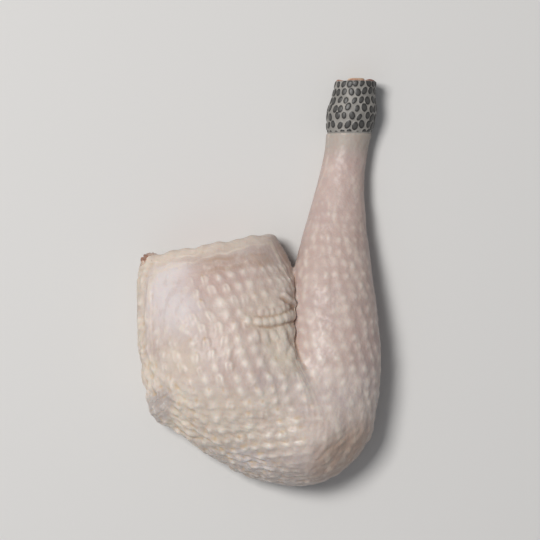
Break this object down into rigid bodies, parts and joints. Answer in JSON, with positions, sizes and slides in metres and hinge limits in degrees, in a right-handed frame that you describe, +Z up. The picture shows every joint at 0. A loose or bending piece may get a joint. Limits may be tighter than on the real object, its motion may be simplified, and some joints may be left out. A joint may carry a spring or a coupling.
{
  "type": "raw chicken leg quarter",
  "caption": "Raw chicken leg quarter, thigh and drumstick folded at the knee, skin side up, with a scaled hock stub and the bone showing at both cuts.",
  "frame": {"origin": "under the middle of the whole leg, on the surface it lies on", "axes": "+Z up out of the skin side, +Y from the knee towards the hock, -X on the thigh's side"},
  "size_m": [0.103, 0.1726, 0.0441],
  "materials": {
    "skin_and_meat": "moist plucked skin",
    "scaled_skin": "moist dark scales",
    "thigh_bone": "wet bone and gristle",
    "shank_bone": "cut bone and gristle"
  },
  "bodies": {
    "root": {"leg_quarter": "skin_and_meat", "hock_stub": "scaled_skin", "femur": "thigh_bone", "shank_bone": "shank_bone"}
  },
  "joints": []
}
